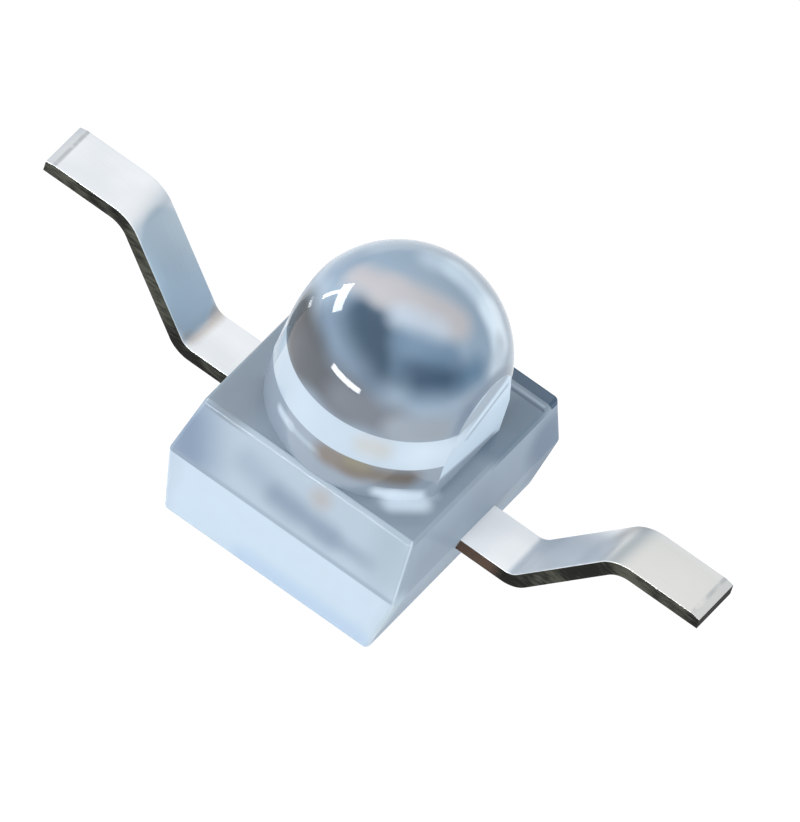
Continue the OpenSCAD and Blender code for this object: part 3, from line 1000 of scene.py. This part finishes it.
@dataclass
class Lead:
    """One stamped and bent strip of the lead frame. Sizes in millimetres."""

    side: Side
    tin: bpy.types.Material
    cut: bpy.types.Material
    width: float = 0.49
    thickness: float = 0.14
    riser_foot: float = 1.66
    riser_head: float = 2.46
    solder_height: float = 1.675
    lower_bend: float = 0.15
    upper_bend: float = 0.24
    tip_bevel: float = 0.07
    tip_drop: float = 0.02
    die_roll: float = 0.007
    burr: float = 0.005
    bend_steps: int = 24
    round_steps: int = 5
    cup_mouth: float = 0.64
    cup_floor: float = 0.44
    cup_depth: float = 0.07
    cup_steps: int = 96

    def __post_init__(self) -> None:
        """Takes the strip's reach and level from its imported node."""
        low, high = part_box(self.node)
        self.tip = max(abs(low.x), abs(high.x)) / MM
        self.level = low.z / MM + self.thickness
        self.lens_axis = lens_axis()

    @property
    def node(self) -> str:
        """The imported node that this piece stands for."""
        return "cathode_lead" if self.side is Side.CATHODE else "anode_lead"

    def head(self) -> list[tuple[float, float]]:
        """The part inside the body, as distances from the lens axis with half widths."""
        neck = self.width / 2
        if self.side is Side.CATHODE:
            outline = [(-0.36, 0.5), (0.5, 0.5), (0.7, neck)]
        else:
            outline = [(0.52, 0.4), (0.76, 0.4), (0.76, neck)]
        return [(reach + self.side.value * self.lens_axis, half) for reach, half in outline]

    def stations(self) -> list[tuple[float, float, float, float, float]]:
        """The strip's stations from its head to its tip.

        Returns:
            For each one the top face's distance from the axis and height, its slope in
            radians, the half width and how far the top face drops.
        """
        neck = self.width / 2
        climb = self.solder_height - self.level
        slope = math.atan2(climb, self.riser_head - self.riser_foot)
        inner = self.lower_bend
        outer = self.upper_bend + self.thickness
        start = self.riser_foot - inner * math.tan(slope / 2)
        found = [(x, self.level, 0.0, half, 0.0) for x, half in self.head()]
        for i in range(self.bend_steps + 1):
            turn = slope * i / self.bend_steps
            x = start + inner * math.sin(turn)
            found.append((x, self.level + inner * (1 - math.cos(turn)), turn, neck, 0.0))
        end = self.riser_head + outer * math.tan(slope / 2)
        for i in range(self.bend_steps + 1):
            turn = slope * (1 - i / self.bend_steps)
            x = end - outer * math.sin(turn)
            found.append((x, self.solder_height - outer * (1 - math.cos(turn)), turn, neck, 0.0))
        found.append((self.tip - self.tip_bevel, self.solder_height, 0.0, neck, 0.0))
        found.append((self.tip, self.solder_height, 0.0, neck, self.tip_drop))
        return found

    def section(self, half: float, drop: float) -> list[tuple[float, float, bool]]:
        """The strip's cross-section, with rolled top edges and a sharper underside.

        Args:
            half: Half the strip's width.
            drop: How far the top face lies below its level.

        Returns:
            Points as distance across, height above the top face, and whether the stretch
            that starts there is a sheared side.
        """
        points = []
        corners = [
            (half - self.die_roll, -drop - self.die_roll, 90, self.die_roll, -1),
            (half - self.burr, -self.thickness + self.burr, 0, self.burr, -1),
            (-half + self.burr, -self.thickness + self.burr, -90, self.burr, -1),
            (-half + self.die_roll, -drop - self.die_roll, 180, self.die_roll, -1),
        ]
        for across, up, start, radius, way in corners:
            for i in range(self.round_steps + 1):
                turn = math.radians(start + way * 90 * i / self.round_steps)
                last = i == self.round_steps
                sheared = last and start in (90, -90)
                points.append((across + radius * math.cos(turn), up + radius * math.sin(turn), sheared))
        return points

    def build(self) -> bpy.types.Object:
        """The bent strip, as one smooth piece."""
        rings = []
        for x, z, slope, half, drop in self.stations():
            ring = []
            for across, up, _ in self.section(half, drop):
                reach = x - up * math.sin(slope)
                ring.append((self.side.value * reach, self.side.value * across, z + up * math.cos(slope)))
            rings.append(ring)
        mesh = loft(self.node + "_strip", rings)
        mesh.materials.append(self.tin)
        mesh.materials.append(self.cut)
        sheared = [flag for _, _, flag in self.section(self.width / 2, 0.0)]
        count = len(sheared)
        for polygon in mesh.polygons[1:-1]:
            polygon.material_index = int(sheared[(polygon.index - 1) % count])
        mesh.polygons[0].material_index = 1
        mesh.polygons[len(mesh.polygons) - 1].material_index = 1
        tidy_mesh(mesh, 24.0)
        made = add_object(self.node + "_strip", mesh)
        if self.side is Side.CATHODE:
            made = self._pressed(made)
        return even_normals(made)

    def _pressed(self, strip: bpy.types.Object) -> bpy.types.Object:
        """Presses the reflector cup into the die pad."""
        over = 0.05
        slope = (self.cup_mouth - self.cup_floor) / 2 / self.cup_depth
        floor = self.level - self.cup_depth
        rings = []
        for up in (0.0, self.cup_depth + over):
            radius = self.cup_floor / 2 + slope * up
            turns = [2 * math.pi * i / self.cup_steps for i in range(self.cup_steps)]
            rings.append(
                [(self.lens_axis + radius * math.cos(a), radius * math.sin(a), floor + up) for a in turns]
            )
        punch = add_object("punch", loft("punch", rings))
        tidy_mesh(punch.data, 30.0)
        cut = strip.modifiers.new("cup", "BOOLEAN")
        cut.operation = "DIFFERENCE"
        cut.solver = "EXACT"
        cut.object = punch
        made = baked(strip, strip.name)
        bpy.data.objects.remove(punch)
        tidy_mesh(made.data, 24.0)
        return made


@dataclass
class BondWire:
    """The gold wire from the chip's contact to the bond post. Sizes in millimetres."""

    finish: bpy.types.Material
    wire: float = 0.025
    ball: float = 0.07
    ball_height: float = 0.02
    loop: float = 0.3
    lean: float = 0.55
    stitch: Point = (0.07, 0.04, 0.016)
    steps: int = 48

    def __post_init__(self) -> None:
        """Takes the wire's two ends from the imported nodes."""
        _, contact_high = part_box("chip_contact")
        wire_low, wire_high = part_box("bond_wire")
        self.start_reach = lens_axis()
        self.start_height = contact_high.z / MM
        self.end_reach = wire_high.x / MM - self.stitch[0] / 2
        self.end_height = wire_low.z / MM

    def tree(self) -> bpy.types.NodeTree:
        """The nodes that sweep the loop and add the pressed ball and the stitch."""
        tree = bpy.data.node_groups.new("bond_wire_nodes", "GeometryNodeTree")
        for name, kind in (
            ("Start", "NodeSocketVector"),
            ("Start Handle", "NodeSocketVector"),
            ("End Handle", "NodeSocketVector"),
            ("End", "NodeSocketVector"),
            ("Wire Radius", "NodeSocketFloat"),
            ("Ball Size", "NodeSocketVector"),
            ("Stitch Size", "NodeSocketVector"),
            ("Steps", "NodeSocketInt"),
            ("Finish", "NodeSocketMaterial"),
        ):
            tree.interface.new_socket(name=name, in_out="INPUT", socket_type=kind)
        tree.interface.new_socket(name="Geometry", in_out="OUTPUT", socket_type="NodeSocketGeometry")
        graph = Graph(tree)
        given = graph.add("NodeGroupInput")
        path = graph.add(
            "GeometryNodeCurvePrimitiveBezierSegment",
            {"mode": "POSITION"},
            {
                "Resolution": given.out("Steps"),
                "Start": given.out("Start"),
                "Start Handle": given.out("Start Handle"),
                "End Handle": given.out("End Handle"),
                "End": given.out("End"),
            },
        )
        section = graph.add(
            "GeometryNodeCurvePrimitiveCircle", {}, {"Resolution": 16, "Radius": given.out("Wire Radius")}
        )
        loop = graph.add(
            "GeometryNodeCurveToMesh", {}, {0: path, 1: section, "Fill Caps": True}
        )
        parts = [loop]
        for place, size in (("Start", "Ball Size"), ("End", "Stitch Size")):
            round_mesh = graph.add("GeometryNodeMeshUVSphere", {}, {"Segments": 32, "Rings": 16, "Radius": 0.5})
            parts.append(
                graph.add(
                    "GeometryNodeTransform",
                    {},
                    {"Geometry": round_mesh, "Translation": given.out(place), "Scale": given.out(size)},
                )
            )
        joined = self._joined(graph, parts)
        smooth = graph.add("GeometryNodeSetShadeSmooth", {}, {"Geometry": joined})
        real = graph.add("GeometryNodeRealizeInstances", {}, {"Geometry": smooth})
        dressed = graph.add(
            "GeometryNodeSetMaterial", {}, {"Geometry": real, "Material": given.out("Finish")}
        )
        graph.add("NodeGroupOutput", {}, {"Geometry": dressed})
        return tree

    @staticmethod
    def _joined(graph: Graph, parts: list[Signal]) -> Signal:
        """One Join Geometry node that takes several parts."""
        join = graph.add("GeometryNodeJoinGeometry", {}, {"Geometry": parts[0]})
        for part in parts[1:]:
            graph.tree.links.new(part.socket, join.socket.node.inputs[0])
        return join

    def build(self) -> bpy.types.Object:
        """The wire, swept by its nodes and made a plain mesh."""
        start, reach, top = self.start_reach, self.end_reach, self.start_height + self.loop
        holder = add_object("wire_nodes", bpy.data.meshes.new("wire_nodes"))
        modifier = holder.modifiers.new("sweep", "NODES")
        modifier.node_group = self.tree()
        values = {
            "Start": (start, 0, self.start_height + self.ball_height / 2),
            "Start Handle": (start, 0, top),
            "End Handle": (start + (reach - start) * self.lean, 0, top),
            "End": (reach, 0, self.end_height + self.stitch[2] / 2),
            "Wire Radius": self.wire / 2,
            "Ball Size": (self.ball, self.ball, self.ball_height),
            "Stitch Size": self.stitch,
        }
        for item in modifier.node_group.interface.items_tree:
            if item.in_out == "OUTPUT":
                continue
            if item.name == "Steps":
                modifier[item.identifier] = self.steps
            elif item.name == "Finish":
                modifier[item.identifier] = self.finish
            elif isinstance(values[item.name], tuple):
                modifier[item.identifier] = [c * MM for c in values[item.name]]
            else:
                modifier[item.identifier] = values[item.name] * MM
        return baked(holder, "gold_wire")


@dataclass
class Studio:
    """Floor, lamps, surroundings and camera."""

    azimuth: float = 20.746
    elevation: float = 50.732
    roll: float = 18.724
    distance: float = 200.0
    focal_pixels: float = 24619.5
    shift_right: float = -0.286
    shift_up: float = -0.26
    aim_height: float = 0.7
    frame_pixels: tuple[int, int] = (800, 822)
    floor_colour: Colour = (0.8, 0.8, 0.8)
    front: Vector = field(default_factory=lambda: Vector((-0.15, -0.95, 0.2)))

    def axes(self) -> tuple[Vector, Vector, Vector]:
        """The camera's right, up and back directions."""
        turn, lift, roll = (math.radians(a) for a in (self.azimuth, self.elevation, self.roll))
        back = Vector(
            (math.sin(turn) * math.cos(lift), -math.cos(turn) * math.cos(lift), math.sin(lift))
        )
        right = (-back).cross(Vector((0, 0, 1))).normalized()
        up = right.cross(-back)
        level_right = right.copy()
        right = level_right * math.cos(roll) + up * math.sin(roll)
        up = up * math.cos(roll) - level_right * math.sin(roll)
        return right, up, back

    def camera(self) -> None:
        """Puts the camera where the photograph was taken from."""
        right, up, back = self.axes()
        data = bpy.data.cameras.new("camera")
        data.sensor_fit = "AUTO"
        data.sensor_width = 36.0
        data.lens = self.focal_pixels * data.sensor_width / max(self.frame_pixels)
        data.clip_start = 0.01
        data.clip_end = 10.0
        made = bpy.data.objects.new("camera", data)
        bpy.context.scene.collection.objects.link(made)
        aim = Vector((0, 0, self.aim_height))
        place = aim - right * self.shift_right - up * self.shift_up + back * self.distance
        made.matrix_world = Matrix.Translation(place * MM) @ Matrix((right, up, back)).transposed().to_4x4()
        bpy.context.scene.camera = made

    def _seen_plainly(self, graph: Graph) -> Signal:
        """1 for rays from the camera, a mirror or through glass, and 0 for the light's own."""
        path = graph.add("ShaderNodeLightPath", {}, {}, output="Is Camera Ray")
        return path.at_least(path.out("Is Glossy Ray")).at_least(path.out("Is Transmission Ray"))

    def floor(self) -> None:
        """A pale floor that shows white, keeps a soft shadow and is clear from below."""
        half = 150 * MM
        level = -0.01 * MM
        mesh = bpy.data.meshes.new("floor")
        corners = [(-half, -half, level), (half, -half, level), (half, half, level), (-half, half, level)]
        mesh.from_pydata(corners, [], [(0, 1, 2, 3)])
        material, graph = new_material("floor_paper")
        paper = graph.add("ShaderNodeBsdfDiffuse", {}, {"Color": (0.14, 0.14, 0.14)})
        white = graph.add("ShaderNodeEmission", {}, {"Color": (1, 1, 1), "Strength": 0.93})
        lit = graph.add("ShaderNodeAddShader", {}, {0: paper, 1: white})
        plain = graph.add("ShaderNodeBsdfDiffuse", {}, {"Color": self.floor_colour})
        shown = graph.add("ShaderNodeMixShader", {}, {0: self._seen_plainly(graph), 1: plain, 2: lit})
        clear = graph.add("ShaderNodeBsdfTransparent")
        under = graph.add("ShaderNodeNewGeometry", output="Backfacing")
        graph.surface(graph.add("ShaderNodeMixShader", {}, {0: under, 1: shown, 2: clear}))
        mesh.materials.append(material)
        add_object("floor", mesh)

    def world(self) -> None:
        """White to the camera, and a pale room with a bright ceiling to the object."""
        world = bpy.data.worlds.new("room")
        world.use_nodes = True
        bpy.context.scene.world = world
        graph = Graph(world.node_tree)
        way = graph.add("ShaderNodeTexCoord", output="Generated")
        height = graph.add("ShaderNodeSeparateXYZ", {}, {0: way}, output="Z")
        room = graph.add(
            "ShaderNodeValToRGB",
            {"stops": [(0.0, srgb("c0cad3")), (0.25, srgb("a0b0be")), (0.72, (1.0, 1.0, 1.0))]},
            {"Fac": height},
        )
        toward_front = graph.add(
            "ShaderNodeVectorMath",
            {"operation": "DOT_PRODUCT"},
            {0: way, 1: tuple(self.front.normalized())},
            output="Value",
        )
        room = graph.mix(toward_front.rise(0.0, 1.0) * 0.8, room, (1.15, 1.17, 1.2))
        camera_ray = graph.add("ShaderNodeLightPath", output="Is Camera Ray")
        ceiling = graph.add("ShaderNodeBackground", {}, {"Color": room, "Strength": 1.0})
        white = graph.add("ShaderNodeBackground", {}, {"Color": (1, 1, 1), "Strength": 1.0})
        shown = graph.add("ShaderNodeMixShader", {}, {0: camera_ray, 1: ceiling, 2: white})
        graph.add("ShaderNodeOutputWorld", {}, {"Surface": shown})

    def lamp(
        self,
        name: str,
        toward: Vector,
        away: float,
        size: tuple[float, float],
        watts: float,
        mirrored: bool = True,
        lighting: bool = True,
    ) -> None:
        """Adds a soft rectangular lamp that faces the object.

        Args:
            name: The lamp's name.
            toward: Direction from the object to the lamp.
            away: Its distance in millimetres.
            size: Its width and height in millimetres.
            watts: Its power.
            mirrored: Whether glossy surfaces show it.
            lighting: Whether it lights matt surfaces.
        """
        data = bpy.data.lights.new(name, "AREA")
        data.shape = "RECTANGLE"
        data.size, data.size_y = size[0] * MM, size[1] * MM
        data.energy = watts
        made = bpy.data.objects.new(name, data)
        bpy.context.scene.collection.objects.link(made)
        direction = toward.normalized()
        made.location = direction * away * MM
        made.rotation_mode = "QUATERNION"
        made.rotation_quaternion = direction.to_track_quat("Z", "Y")
        made.visible_glossy = mirrored
        made.visible_diffuse = lighting

    def lamps(self) -> None:
        """A broad key light, and the small windows whose reflections show on the dome."""
        self.lamp("key", Vector((-0.5, -0.9, 1.1)), 120, (90, 90), 0.02, mirrored=False)
        self.lamp("fill", Vector((1.0, -0.3, 0.25)), 120, (110, 90), 0.05, mirrored=False)
        self.lamp("window", Vector((-0.929, -0.022, 0.369)), 40, (17.6, 7), 0.0054)
        self.lamp("window_edge", Vector((-0.985, 0.085, 0.16)), 40, (2.5, 16), 0.0015)
        self.lamp("strip", Vector((-0.306, -0.95, 0.05)), 40, (25, 4), 0.0038)
        self.lamp("strip_glint", Vector((-0.306, -0.95, 0.05)), 40.5, (23.5, 4.6), 0.0023, lighting=False)

    def build(self) -> None:
        """Sets up the whole studio."""
        bpy.context.scene.view_settings.view_transform = "Standard"
        self.floor()
        self.world()
        self.lamps()
        self.camera()


def settle(piece: bpy.types.Object, slot: str, *nodes: str) -> None:
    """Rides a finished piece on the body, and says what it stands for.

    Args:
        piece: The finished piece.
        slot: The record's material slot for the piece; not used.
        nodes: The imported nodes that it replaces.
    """
    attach(piece, BODY)
    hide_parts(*nodes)
    log.info("%s: %d faces, stands for %s", piece.name, len(piece.data.polygons), ", ".join(nodes))


def dress(node: str, material: bpy.types.Material) -> None:
    """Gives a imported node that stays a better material."""
    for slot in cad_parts[node].material_slots:
        slot.material = material
    log.info("%s: kept as packed, with %s", node, material.name)


def main() -> None:
    """Builds every piece in order."""
    logging.basicConfig(level=logging.INFO, format="%(name)s: %(message)s")
    Studio().build()
    tin, cut, gold = TinPlate().build(), ShearedEdge().build(), BrightGold().build()
    settle(ClearBody().build(), "clear_epoxy", "epoxy_body")
    for side in Side:
        lead = Lead(side, tin, cut)
        settle(lead.build(), "tinned_lead", lead.node)
    settle(BondWire(gold).build(), "gold", "bond_wire")
    dress("chip_contact", gold)
    dress("led_chip", SawnChip().build())
    dress("die_attach", SilverAdhesive().build())


if __name__ == "__main__":
    main()
